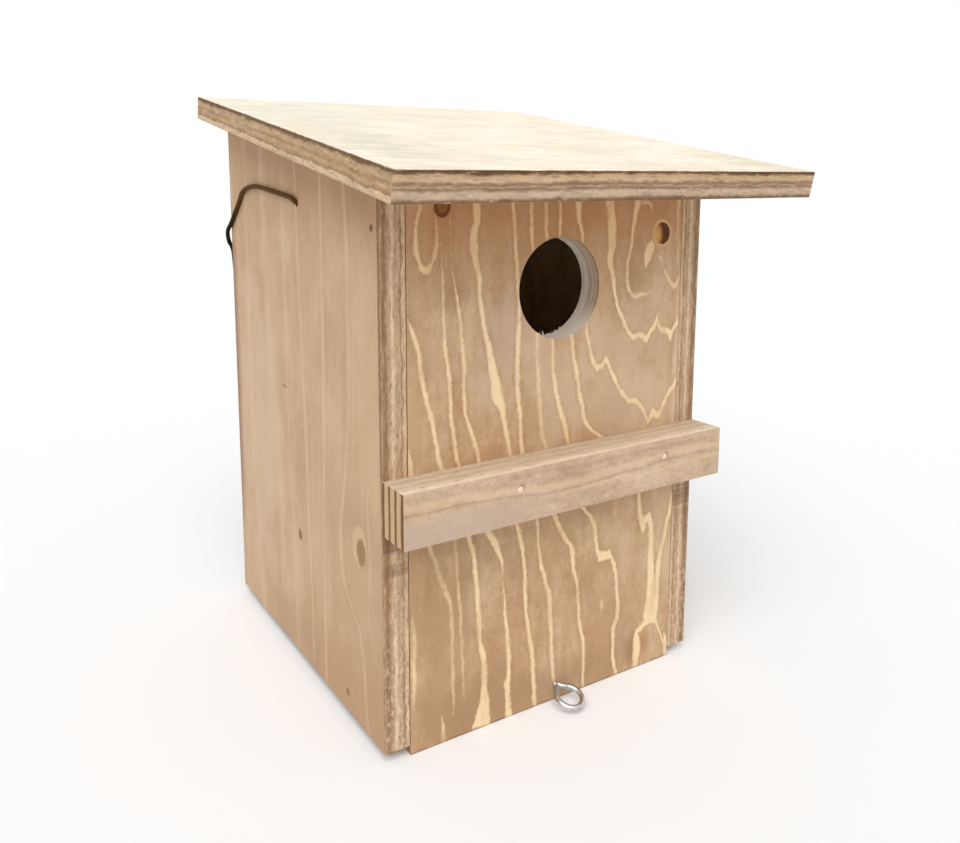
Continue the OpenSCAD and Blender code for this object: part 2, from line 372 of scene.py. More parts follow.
FRONT_ACROSS = [
    [(-72.8, 217, 0), (-71.6, 214, 1.8), (-69.8, 212.2, 2.3), (-67.8, 211.8, 2.5), (-66, 213.2, 2),
     (-64.6, 216, 0)],
    [(22.2, 164, 0), (24.4, 160.2, 2.6), (26.4, 161.2, 1.8), (28.1, 161, 2.2), (30, 164.6, 1.6),
     (33.1, 159, 1.8), (36.2, 154, 2), (40, 147.5, 1.8), (45.6, 142, 1.8), (50.6, 141.5, 2),
     (53.8, 138, 1.6), (56.9, 134, 1.7), (58.8, 129.6, 1.2), (61.9, 134.4, 2.8), (64.4, 132, 2.4),
     (66.9, 132.4, 2.4), (68.8, 137, 1.8), (71.9, 142, 1.8), (75.6, 145.6, 2), (78, 150, 1.6)],
    [(41.4, 180, 0), (43.1, 177.3, 1.6), (46.9, 173.2, 2), (51.2, 174, 1.8), (56.2, 171.4, 2.4),
     (59.4, 175.6, 1.8), (61.4, 178.2, 1.6), (62.5, 181.2, 1.2), (64, 177.6, 1.6), (66.2, 175, 1.8),
     (70, 174.4, 2.2), (72.5, 171.4, 2.8), (74.4, 175.6, 1.8), (78, 180.4, 1.5)],
    [(26.8, 69.4, 0), (28.4, 66.6, 3.6), (31.2, 66, 4.6), (34, 65.8, 4.2), (36.2, 65.8, 3.2),
     (38.4, 61.6, 0)],
    [(55.4, 79, 0), (57.2, 76.6, 4), (60.2, 78.8, 3.4), (62.6, 79.8, 3.2), (64.8, 76, 0)],
    [(53, 16.5, 0), (54.6, 18.4, 2.6), (58, 20.2, 2.6), (61.5, 22.6, 3.2), (65, 23.6, 3.4),
     (68.4, 22.6, 2.6), (70.6, 18.6, 1.4), (72.4, 14.4, 1), (74, 9.6, 0.9), (75, 7, 0)],
]
# The same for the fainter ones.
FRONT_FAINT_UP = [
    [(-11, 177, 1), (-10.5, 165, 1), (-9.4, 152, 1.4), (-8.5, 142, 1.1), (-6.9, 132, 1.4),
     (-5, 127, 1.1)],
    [(75, 237.5, 1.2), (74.8, 228, 1), (75.6, 214, 0.9), (76, 204, 0)],
    [(-66.9, 92, 1.6), (-64.4, 85, 1.4), (-61.9, 77, 1.7), (-59.4, 71, 1.5), (-57.2, 65, 1.1),
     (-56.2, 52, 0.8), (-55.9, 40, 0.9), (-55.6, 27, 1.1), (-55.6, 12, 0)],
    [(-54.4, 90, 0.6), (-52.5, 65, 0.6), (-51.5, 52, 0.5), (-50.6, 35, 0.7), (-50, 18, 0)],
    [(31.5, 44.4, 0), (31.5, 42.2, 1.5), (31.5, 40, 1.5), (31.5, 38, 0)],
    [(-76.2, 65, 0), (-75.6, 54, 1.9), (-75.4, 40, 2), (-75.7, 30, 1.6), (-76, 20, 0)],
    [(-61.6, 13, 0), (-61, 8, 1.2), (-60.6, 2, 1.6)],
]
FRONT_FAINT_ACROSS = [
    [(43, 197.6, 0), (44.6, 195, 1.2), (47.5, 192.7, 1.7), (51.2, 193.8, 1.3), (55.6, 193.7, 1.2),
     (58.6, 195.2, 0)],
    [(48, 235, 0), (50.5, 237.2, 0.9), (55, 237.4, 0.9), (57.4, 234.8, 1), (58.6, 230, 0)],
    [(62.4, 211.4, 0), (64.4, 210.2, 1.6), (66, 207.6, 0)],
    [(65.6, 208, 0), (66.9, 204, 0.9), (70.6, 198.4, 1.4), (73, 196.4, 2), (75, 196.6, 2),
     (76.6, 199, 1.2), (77.2, 201, 0)],
]

# Soft pale bands of a side's face: (s, z, width).
LEFT_LINES = [
    [(133, 262, 5), (131, 200, 6.5), (127, 165, 6), (119, 120, 6), (116, 40, 5)],
    [(158, 262, 2.5), (160, 150, 4), (156, 80, 5), (150, 10, 4)],
    [(104, 240, 1.2), (103, 150, 2), (99, 60, 2), (98, 10, 1.4)],
]
LEFT_CRISP = [
    [(86, 262, 1.4), (84, 200, 2), (80, 120, 2), (78, 60, 1.4), (77, 20, 1)],
    [(56, 256, 1.4), (57, 160, 1.9), (61, 60, 1.4), (62, 10, 1)],
    [(32, 250, 1.4), (29.5, 215, 1.7), (30.6, 150, 1.2), (37, 112, 1.2), (41.5, 90, 1.6), (41, 75, 1.6),
     (35, 62, 1.4), (23, 50, 1), (17, 10, 1)],
    [(12, 130, 0), (13.5, 108, 1), (12, 92, 1.2), (12.5, 76, 1), (15, 58, 0)],
]
RIGHT_LINES = [
    [(48, 250, 3), (51, 170, 4.5), (46, 80, 5), (44, 10, 3)],
    [(108, 262, 4), (112, 160, 6), (107, 70, 5), (109, 10, 4)],
    [(166, 268, 3), (163, 170, 3.6), (168, 70, 4.4), (165, 10, 3)],
]
RIGHT_CRISP = [
    [(24, 246, 1.2), (27, 180, 1.6), (22, 90, 1.8), (25, 10, 1.2)],
    [(78, 256, 1.2), (74, 190, 1.6), (77, 120, 1.4), (82, 60, 1.8), (80, 10, 1.4)],
    [(141, 266, 1.4), (138, 190, 1.8), (130, 158, 1.6), (128, 140, 1.6), (136, 118, 1.6),
     (141, 60, 1.6), (140, 10, 1.2)],
]
BACK_LINES = [
    [(-62, 280, 2), (-60, 210, 2.6), (-64, 120, 3), (-61, 20, 2.4)],
    [(-41, 280, 1.4), (-44, 200, 1.8), (-39, 130, 1.4), (-42, 60, 1.8), (-40, 8, 1.4)],
    [(-18, 280, 3), (-20, 190, 4), (-13, 110, 3.4), (-16, 10, 2.6)],
    [(6, 280, 1.2), (3, 215, 1.6), (8, 150, 1.4), (12, 95, 1.8), (8, 40, 1.2), (9, 4, 1)],
    [(31, 280, 2.2), (34, 180, 3), (29, 80, 2.4), (33, 4, 2)],
    [(58, 280, 1.6), (55, 200, 2), (61, 100, 2.4), (57, 4, 1.8)],
]


def wood_tone(t, across, along, third, tones, seed, contrast=1):
    """Veneer: broad patches, soft streaks and fibres along the grain, and fine mottling."""
    patches = t.noise(across * 0.035, along * 0.020, third * 0.02, 3, 0.6, seed)
    streaks = t.noise(across * 0.12, along * 0.008, third * 0.1, 3, 0.55, seed + 1)
    fibres = t.noise(across * 0.9, along * 0.06, third * 0.5, 2, 0.6, seed + 2)
    mottle = t.noise(across * 0.34, along * 0.17, third * 0.4, 4, 0.7, seed + 3)
    specks = t.noise(across * 0.95, along * 0.60, third * 0.9, 2, 0.7, seed + 4)
    base = t.ramp(patches * 0.6 + streaks * 0.25 + mottle * 0.15,
                  [(0.40, tones[0]), (0.50, tones[1]), (0.60, tones[2])])
    shade = (1 + (fibres - 0.5) * 0.10 * contrast + (mottle - 0.5) * 0.40 * contrast
             + (specks - 0.5) * 0.34 * contrast + (streaks - 0.5) * 0.08 * contrast)
    return t.shade(base, shade), fibres * 0.6 + specks * 0.4


def zones(t, along, across, tone, spots, seed):
    """Broad soft patches of another colour: (centre, size, colour, amount)."""
    wander = (t.noise(across * 0.06, along * 0.04, 0, 3, 0.6, seed) - 0.5) * 2.4
    for centre, size, colour, amount in spots:
        near = (knot(along, across, centre, size) + wander).step(1.25, 0.2)
        tone = t.mix(near * amount, tone, colour)
    return tone


# Colours across a plywood edge from one face to the other: (share of the thickness, r, g, b).
EDGE_UP = [(0.00, 178, 146, 114), (0.08, 162, 130, 98), (0.16, 142, 110, 78),
           (0.23, 152, 120, 88), (0.31, 178, 148, 118), (0.38, 188, 158, 128),
           (0.46, 216, 187, 156), (0.53, 206, 176, 145), (0.60, 182, 151, 120),
           (0.70, 188, 157, 125), (0.76, 182, 150, 118), (0.80, 146, 113, 80),
           (0.84, 186, 154, 121), (0.89, 202, 171, 138),
           (0.95, 204, 172, 138), (1.00, 198, 166, 133)]
EDGE_ROOF = [(0.00, 88, 62, 40), (0.09, 112, 80, 52), (0.16, 190, 156, 120),
             (0.32, 198, 168, 137), (0.38, 158, 129, 101), (0.44, 140, 112, 86),
             (0.50, 178, 149, 121), (0.56, 140, 112, 86), (0.61, 166, 139, 112),
             (0.68, 196, 171, 145), (0.84, 188, 162, 135), (0.91, 136, 108, 82),
             (1.00, 112, 86, 62)]
EDGE_END = [(0.00, 94, 68, 44), (0.11, 118, 88, 60), (0.18, 176, 146, 110),
            (0.32, 186, 155, 118), (0.44, 160, 128, 92), (0.56, 184, 152, 114),
            (0.66, 172, 140, 102), (0.73, 150, 118, 84), (0.80, 206, 178, 144),
            (0.90, 206, 177, 144), (1.00, 192, 162, 128)]
# The hole's wall is lifted paler than the other edges to make up for the shade under the roof: painted
# light.
EDGE_HOLE = [(0.00, 132, 102, 78), (0.05, 168, 140, 116), (0.12, 210, 184, 158),
             (0.24, 192, 166, 142), (0.36, 214, 190, 168), (0.50, 192, 170, 150),
             (0.62, 226, 210, 194), (0.78, 236, 222, 208), (0.90, 218, 202, 186),
             (0.95, 250, 238, 226), (1.00, 250, 240, 228)]


def bar_plies():
    """Seven plies across the bar, dark where the fibres end and ochre where they run along."""
    stops = []
    for i in range(7):
        dark = i % 2 == 0
        colour = (110, 78, 50) if dark else (196, 163, 122)
        reach = 0.34 if dark else 0.02
        stops.append(((i + reach) / 7, *colour))
        stops.append(((i + 1 - reach) / 7, *colour))
    return stops


def edge_tone(t, share, along, cross, stops, seed, rough=1):
    """A sawn plywood edge: bands of plies, blotched and torn in strokes along their length."""
    wave = t.noise(along * 0.03, cross * 0.02, 0, 2, 0.5, seed)
    tear = t.noise(along * 0.14, cross * 0.14, share * 3, 3, 0.65, seed + 1)
    place = share + ((wave - 0.5) * 0.10 + (tear - 0.5) * 0.22) * rough
    colour = t.ramp(place, [(at, rgb(*c)) for at, *c in stops])
    blotch = t.noise(along * 0.09, cross * 0.09, share * 5, 3, 0.6, seed + 2)
    pores = t.noise(along * 0.40, cross * 0.40, share * 12, 3, 0.7, seed + 3)
    shade = 1 + ((blotch - 0.5) * 0.62 + (pores - 0.5) * 0.72) * rough
    strokes = t.noise(along * 0.13, cross * 0.13, share * 10, 4, 0.75, seed + 4)
    colour = t.mix(strokes.step(0.56, 0.68) * 0.60 * rough, colour, rgb(112, 80, 50))
    colour = t.mix(strokes.step(0.44, 0.32) * 0.50 * rough, colour, rgb(222, 195, 164))
    return t.shade(colour, shade), pores


# ---------------------------------------------------------------- materials of the boards

CREAM = rgb(240, 211, 168)


def outline(value, lo, hi):
    """Distance to the nearer of two edges."""
    return (value - lo).min(hi - value)


# Tones of the inner faces, paler than the outer faces and lifted to brighten the dim inside of the box:
# painted light.
INNER = (rgb(210, 170, 128), rgb(224, 188, 146), rgb(234, 204, 164))
FRONT_ZONES = [
    ((-28, 180), (34, 74), rgb(192, 166, 143), 0.55),
    ((26, 162), (130, 70), rgb(210, 181, 152), 0.50),
    ((54, 142), (52, 40), rgb(216, 187, 158), 0.45),
    ((78, 166), (9, 90), rgb(220, 195, 166), 0.60),
    ((60.6, 12), (7, 16), rgb(190, 146, 90), 0.75),
    ((-4, 140), (40, 30), rgb(194, 164, 134), 0.30),
    ((-74, 152), (18, 60), rgb(188, 158, 118), 0.45),
    ((-60, 176), (26, 34), rgb(196, 164, 138), 0.35),
    ((-62, 44), (56, 130), rgb(168, 133, 98), 0.62),
    # Painted shadow of the landing bar: the next two patches lie just under it.
    ((-36, 84), (40, 34), rgb(164, 130, 98), 0.55),
    ((12, 92), (56, 20), rgb(176, 142, 110), 0.50),
    ((36, 64), (16, 30), rgb(180, 142, 102), 0.50),
    ((35, 138), (22, 20), rgb(184, 152, 122), 0.50),
    ((-54, 201), (24, 24), rgb(162, 124, 88), 0.60),
    ((0, 6), (160, 30), rgb(168, 136, 104), 0.55),
    ((36, 50), (40, 40), rgb(180, 144, 108), 0.35),
    ((52, 9), (14, 20), rgb(146, 108, 74), 0.70),
    ((-34, 14), (70, 40), rgb(166, 132, 96), 0.45),
    ((32, 22), (50, 56), rgb(172, 136, 98), 0.50),
    ((72, 60), (26, 70), rgb(216, 184, 152), 0.55),
]


def front_tone(t, u, z):
    """The front's colour, pinkish grey in places, with painted shade in orange brown under the roof."""
    tone, relief = wood_tone(t, u, z, t.y, (rgb(178, 142, 105), rgb(190, 155, 119),
                                            rgb(200, 168, 135)), 1)
    tone = zones(t, z, u, tone, FRONT_ZONES, 8)
    roof_shade_edge = t.noise(u * 0.06, z * 0.03, 0, 3, 0.55, 9)
    painted_roof_shade = (z + (roof_shade_edge - 0.5) * 46).step(196, 240)
    beside = u.abs().step(58, 74)
    # Painted shade: the band under the roof's overhang turns orange brown, less so towards the sides.
    tone = t.mix(painted_roof_shade * (0.72 - beside * 0.28), tone, rgb(176, 124, 74))
    return tone, relief, painted_roof_shade


def front_grain(t, u, z, wobble_u, wobble_z, tone, painted_roof_shade):
    """Adds the cream lines, torn at their edges and fading in places, and darker under the roof as
    painted shade.
    """
    torn = (t.noise(u * 0.8, z * 0.40, 0, 3, 0.6, 7) - 0.5) * 2
    fade = t.noise(u * 0.16, z * 0.06, 0, 3, 0.6, 6)
    place = (z + wobble_z, u + wobble_u)
    bold = grain_lines(t, *place, FRONT_UP, FRONT_ACROSS) + torn
    soft = grain_lines(t, *place, FRONT_FAINT_UP, FRONT_FAINT_ACROSS) + torn
    line = (bold.step(-0.90, 0.55) * (fade.step(0.30, 0.60) * 0.34 + 0.62)).max(
        soft.step(-1.1, 0.7) * (fade.step(0.34, 0.60) * 0.40 + 0.32))
    darker_side = t.noise(u * 0.3, z * 0.1, 0, 2, 0.6, 10).step(0.42, 0.62)
    tone = t.mix(bold.step(-3, -0.2) * (darker_side * 0.22 + 0.08), tone, rgb(156, 112, 72))
    # Painted shade: the cream lines turn darker under the roof.
    cream = t.mix(painted_roof_shade * 0.60, CREAM, rgb(218, 174, 120))
    tone = t.mix(line, tone, cream)
    return tone, line


def front_knots(t, u, z, wobble_u, wobble_z, tone):
    """Adds the two knots under the roof."""
    right_knot = knot(z, u, (64.4, 222.6), (10, 10.4)) + wobble_u * 0.05
    tone = t.mix(right_knot.step(1.46, 1.08) * 0.7, tone, rgb(220, 178, 124))
    tone = t.mix(right_knot.step(1.06, 0.92), tone, rgb(188, 136, 76))
    bright = knot(z, u, (61.4, 222), (4.4, 8)).step(1.2, 0.4)
    tone = t.mix(bright * 0.6, tone, rgb(212, 164, 102))
    crescent = knot(z, u, (60.6, 221.8), (8.6, 12.8)) + (wobble_z + wobble_u) * 0.16
    inside = right_knot.step(1.06, 0.96)
    tone = t.mix(crescent.step(0.45, 0.95) * inside, tone, rgb(146, 92, 40))
    tone = t.mix(crescent.step(0.86, 1.16) * inside, tone, rgb(88, 46, 12))
    left_knot = knot(z, u, (-60.5, 237.6), (7.8, 9)) + wobble_u * 0.07
    tone = t.mix(left_knot.step(1.14, 0.94), tone, rgb(104, 62, 24))
    tone = t.mix(left_knot.step(0.86, 0.40) * 0.8, tone, rgb(146, 96, 54))
    tone = t.mix((left_knot + wobble_z * 0.2).step(0.45, 0.1) * 0.3, tone, rgb(84, 44, 22))
    return tone


def front_edges(t, u, z):
    """The plies on the four edges and on the wall of the entrance hole, with painted light on the wall.
    """
    du = t.x - HOLE.x
    dz = z - HOLE.z
    radius = (du * du + dz * dz).sqrt()
    in_hole = radius.step(HOLE_R + 0.9, HOLE_R + 0.3)
    share = (t.y - FACE) / PLY
    turn = t.math("ARCTAN2", dz, du) * HOLE_R
    wall, _ = edge_tone(t, share, turn, 0, EDGE_HOLE, 31, 0.45)
    # Painted light: the bottom of the hole's wall turns almost white where light falls into the hole.
    wall = t.mix(dz.step(-6, -0.9 * HOLE_R) * 0.85, wall, rgb(255, 247, 234))
    edge, edge_pores = edge_tone(t, share, z, u, EDGE_UP, 35)
    edge = t.mix(in_hole, edge, wall)
    return edge, edge_pores


def front_material():
    t = Tree("front_ply")
    u = t.x - MID
    z = t.z
    outer = (-t.ny).faces()
    inner = t.ny.faces()
    wobble_u = (t.noise(u * 0.2, z * 0.12, 0, 3, 0.65, 4) - 0.5) * 2
    wobble_z = (t.noise(u * 0.2, z * 0.2, 0, 2, 0.6, 5) - 0.5) * 1.6
    tone, relief, painted_roof_shade = front_tone(t, u, z)
    tone, line = front_grain(t, u, z, wobble_u, wobble_z, tone, painted_roof_shade)
    tone = front_knots(t, u, z, wobble_u, wobble_z, tone)
    edge_band = outline(z, 0, FRONT[1].z)
    rag = t.noise(u * 0.3, z * 0.2, 0, 3, 0.7, 14)
    # Darker in a ragged band along the bottom and top edges.
    tone = t.mix((edge_band + (rag - 0.5) * 3).step(0.9, 0.1) * 0.6, tone, rgb(126, 92, 62))
    back_tone, _ = wood_tone(t, u, z, t.y, INNER, 21)
    edge, edge_pores = front_edges(t, u, z)
    colour = t.mix(outer, t.mix(inner, edge, back_tone), tone)
    height = relief * 0.07 + line * 0.03 + (1 - outer) * edge_pores * 0.2
    return t.finish(colour, 0.68 + (relief - 0.5) * 0.1, height, 0.22, eased=0.4)


SIDE_ZONES = [
    ((150, 110), (90, 220), rgb(205, 179, 152), 0.60),
    ((14, 130), (30, 200), rgb(202, 170, 136), 0.45),
    ((70, 90), (30, 100), rgb(198, 166, 134), 0.35),
    ((24, 98), (64, 36), rgb(178, 146, 117), 0.55),
    ((104, 12), (90, 44), rgb(172, 138, 108), 0.55),
    ((128, 238), (80, 30), rgb(178, 146, 114), 0.45),
]


def side_tone(t, s, z, seed):
    """A side's colour: browner low at the front, and browner under the roof, partly the wood's own
    colour and partly painted shade of the roof.
    """
    tone, fibres = wood_tone(t, s, z, t.x, (rgb(188, 155, 121), rgb(194, 162, 128),
                                            rgb(200, 171, 138)), seed, 0.4)
    drift = t.noise(s * 0.03, z * 0.02, 0, 3, 0.55, seed + 5)
    roof_line = z - s * 0.2
    # Partly painted shade of the roof, partly the wood's own darker colour: browner below a line along
    # the roof's slope.
    brown = (roof_line + (drift - 0.5) * 30).step(200, 246)
    tone = t.mix(brown * 0.52, tone, rgb(168, 125, 84))
    low = (z + s * 0.8 + (drift - 0.5) * 60).step(132, 30)
    tone = t.mix(low * 0.60, tone, rgb(176, 138, 104))
    tone = zones(t, z, s, tone, SIDE_ZONES, seed + 7)
    return tone, fibres


def side_grain(t, s, z, wobble, lines, crisp, seed, tone):
    """Adds the broad soft bands and the thin lines."""
    field = grain_lines(t, z, s + wobble, lines)
    fade = t.noise(s * 0.1, z * 0.03, 0, 2, 0.6, seed + 9).step(0.36, 0.62)
    tone = t.mix(field.step(-3.4, 1.6) * (fade * 0.24 + 0.12), tone, rgb(216, 189, 154))
    thin = grain_lines(t, z, s + wobble * 0.3, crisp)
    tone = t.mix(thin.step(-4.5, -0.6) * 0.16, tone, rgb(170, 132, 98))
    tone = t.mix(thin.step(-2.2, 1.1) * (fade * 0.22 + 0.30), tone, rgb(222, 195, 160))
    return tone


def side_knots(t, s, z, wobble, grit, knots, tone):
    """Adds the knots, the big ones with a pale ring, and a darker spot round the pivot nail."""
    for centre, size, core, depth in knots:
        d = knot(z, s, centre, size) + wobble * 0.03 + (grit - 0.5) * 0.5
        if size[1] > 9:
            off_centre = (centre[0] + 1.5, centre[1] + 2.5)
            halo = knot(z, s, off_centre, (size[0] * 1.7, size[1] * 1.6)) + (grit - 0.5) * 0.5
            tone = t.mix(halo.step(1.45, 0.95) * 0.25, tone, rgb(178, 140, 104))
            tone = t.mix(halo.step(1.1, 0.8) * 0.45, tone, rgb(222, 192, 150))
        tone = t.mix(d.step(1.15, 0.85) * depth, tone, core)
        tone = t.mix(d.step(0.75, 0.2) * grit.step(0.40, 0.62) * 0.5 * depth, tone,
                     rgb(126, 92, 58))
    # A darker spot round the pivot nail.
    nail_darkening = knot(z, s, (PIVOT.y - FACE, PIVOT.z), (4.4, 4))
    tone = t.mix(nail_darkening.step(1.05, 0.55) * 0.7, tone, rgb(122, 78, 50))
    return tone


def side_edges(t, s, z, sign, grit, seed):
    """The plies on a side's edges, with a painted shadow under the bar at the front."""
    board = LEFT if sign < 0 else RIGHT
    share = (t.x - board[0].x) / PLY if sign < 0 else (board[1].x - t.x) / PLY
    edge, pores = edge_tone(t, share, z, t.y, EDGE_UP, seed + 30, 1.3)
    flecks = t.noise(z * 0.35, t.x * 0.5, 0, 2, 0.6, seed + 31).step(0.54, 0.64)
    edge = t.mix(flecks * z.step(80, 25) * 0.35, edge, rgb(236, 216, 190))
    # Painted shadow: the front of the edge just under the bar turns mottled dark brown.
    painted_bar_shadow = z.step(64, BAR[0].z - 6) * z.step(BAR[0].z + 4, BAR[0].z) * s.step(40, 20)
    edge = t.mix(painted_bar_shadow * grit.step(0.40, 0.56) * 0.6, edge, rgb(106, 72, 46))
    return edge, pores


def side_wear(t, s, z, grit, seed, tone):
    """Darkens the face along its back and front edges."""
    ends = outline(s, 0, SIDE_D).step(1.6, 0.2)
    edge_band = ends * t.noise(s * 0.3, z * 0.12, 0, 3, 0.7, seed + 8).step(0.38, 0.56)
    tone = t.mix(edge_band * 0.6, tone, rgb(116, 86, 60))
    rear = (SIDE_D - s).step(10, 1.5) * z.step(20, 90) * z.step(240, 205)
    tone = t.mix(rear * 0.85, tone, rgb(152, 114, 92))
    lead = (s + (grit - 0.5) * 1.6).step(2, 0.5) * z.step(105, 140)
    tone = t.mix(lead * 0.75, tone, rgb(108, 76, 48))
    return tone


def side_material(name, sign, lines, crisp, seed, knots):
    """A side board. sign is -1 on the left, where the outer face looks along -X."""
    t = Tree(name)
    s = t.y - FACE
    z = t.z
    outer = (t.nx * sign).faces()
    inner = (t.nx * -sign).faces()
    wobble = (t.noise(s * 0.08, z * 0.03, 0, 2, 0.5, seed + 6) - 0.5) * 5
    grit = t.noise(s * 0.5, z * 0.25, 0, 3, 0.7, seed + 12)
    tone, fibres = side_tone(t, s, z, seed)
    tone = side_grain(t, s, z, wobble, lines, crisp, seed, tone)
    tone = side_knots(t, s, z, wobble, grit, knots, tone)
    tone = side_wear(t, s, z, grit, seed, tone)
    inner_tone, _ = wood_tone(t, s, z, t.x, INNER, seed + 20)
    edge, pores = side_edges(t, s, z, sign, grit, seed)
    colour = t.mix(outer, t.mix(inner, edge, inner_tone), tone)
    height = fibres * 0.06 + (1 - outer) * pores * 0.25
    return t.finish(colour, 0.66 + (fibres - 0.5) * 0.1, height, 0.22, eased=0.4)


def inner_board_material(name, upright, seed):
    """The back, whose face is upright, or the floor."""
    t = Tree(name)
    u = t.x - MID
    along = t.z if upright else t.y
    third = t.y if upright else t.z
    tone, fibres = wood_tone(t, u, along, third, (rgb(182, 148, 114), rgb(196, 164, 130),
                                                  rgb(206, 178, 146)), seed)
    normal = t.ny if upright else t.nz
    flat = normal.abs().faces()
    if upright:
        wobble = (t.noise(u * 0.1, along * 0.05, 0, 2, 0.5, seed + 6) - 0.5) * 4
        field = grain_lines(t, along, u + wobble, BACK_LINES)
        tone = t.mix(field.step(-1.4, 0.8) * 0.5 * normal.faces(), tone,
                     rgb(230, 200, 160))
        knot_at = knot(along, u, (-29, 168), (9, 12)) + wobble * 0.04
        mask = normal.faces()
        tone = t.mix(knot_at.step(1.5, 1.1) * 0.4 * mask, tone, rgb(224, 192, 152))
        tone = t.mix(knot_at.step(1.08, 0.8) * 0.8 * mask, tone, rgb(146, 104, 68))
        share = (BACK[1].y - t.y) / PLY
    else:
        share = (t.z - LEFT[0].z) / PLY
    edge, pores = edge_tone(t, share, along, u, EDGE_UP, seed + 30)
    colour = t.mix(flat, edge, tone)
    height = fibres * 0.05 + (1 - flat) * pores * 0.25
    return t.finish(colour, 0.68, height, 0.22)


def roof_slope():
    """Unit vectors up the roof's slope and out of its top face."""
    mesh = frame["nodes"]["roof_panel"].data
    top = max((p.normal for p in mesh.polygons), key=lambda n: n.z)
    return Vector((0, top.z, -top.y)), Vector(top)


def roof_top(t, u, v, depth):
    """The pale top face, streaked across, with a torn dark rim."""
    tone, fibres = wood_tone(t, v, u, depth, (rgb(232, 221, 200), rgb(238, 228, 208),
                                              rgb(243, 234, 216)), 51, 0.45)
    patch = t.noise(u * 0.016, v * 0.03, 0, 3, 0.6, 52)
    strokes = t.noise(u * 0.035, v * 0.20, 0, 4, 0.65, 53)
    tone = t.mix(patch.step(0.50, 0.66) * 0.45, tone, rgb(232, 215, 186))
    tone = zones(t, v, u, tone, [((-88, 66), (44, 100), rgb(216, 210, 190), 0.75),
                                 ((-66, 28), (50, 40), rgb(222, 214, 194), 0.6),
                                 ((98, 34), (40, 74), rgb(216, 204, 176), 0.6),
                                 ((-80, 170), (90, 130), rgb(222, 221, 205), 0.75),
                                 ((10, 176), (90, 26), rgb(226, 218, 198), 0.45)], 55)
    tone = t.mix(strokes.step(0.53, 0.64) * 0.65, tone, rgb(247, 239, 222))
    tone = t.mix(strokes.step(0.46, 0.36) * 0.40, tone, rgb(216, 201, 174))
    half = (ROOF[1].x - ROOF[0].x) / 2
    rim = outline(u, -half, half).min(v)
    torn = t.noise(u * 0.14, v * 0.14, 0, 4, 0.75, 54)
    tone = t.mix((rim - (torn - 0.5) * 3.4).step(1, 0.1) * 0.8, tone, rgb(112, 84, 58))
    return tone, fibres


def roof_edges(t, u, v, depth):
    """The plies on the front, back and side edges, and their height."""
    share = depth / PLY
    front_edge, pores = edge_tone(t, share, u, v, EDGE_ROOF, 65)
    side_edge, side_pores = edge_tone(t, share, v, u, EDGE_END, 71, 1.25)
    lumps = t.noise(v * 0.06, u * 0.02, share * 2, 3, 0.6, 75).step(0.52, 0.66)
    lumps = lumps * v.step(90, 150) * share.step(0.14, 0.26)
    side_edge = t.mix(lumps * 0.5, side_edge, rgb(206, 180, 156))
    sideways = t.nx.abs().faces()
    edge = t.mix(sideways, front_edge, side_edge)
    return edge, pores * 0.22 + side_pores * sideways * 0.2


def roof_material():
    t = Tree("roof_ply")
    up, out = roof_slope()
    mesh = frame["nodes"]["roof_panel"].data
    top_level = max(v.co.dot(out) for v in mesh.vertices) / MM
    v = t.y * up.y + t.z * up.z
    front_level = min(p.co.dot(up) for p in mesh.vertices) / MM
    v = v - front_level
    depth = top_level - (t.y * out.y + t.z * out.z)
    n_out = t.ny * out.y + t.nz * out.z
    u = t.x - (ROOF[0].x + ROOF[1].x) / 2
    top = n_out.faces()
    under = (-n_out).faces()

    tone, fibres = roof_top(t, u, v, depth)
    below, _ = wood_tone(t, v, u, depth, (rgb(168, 132, 96), rgb(188, 154, 116),
                                          rgb(200, 170, 134)), 61)
    edge, edge_height = roof_edges(t, u, v, depth)
    colour = t.mix(top, t.mix(under, edge, below), tone)
    height = fibres * 0.04 + (1 - top) * edge_height
    return t.finish(colour, 0.7, height, 0.22)


BAR_NAILS = ((-33, 118), (52, 118))


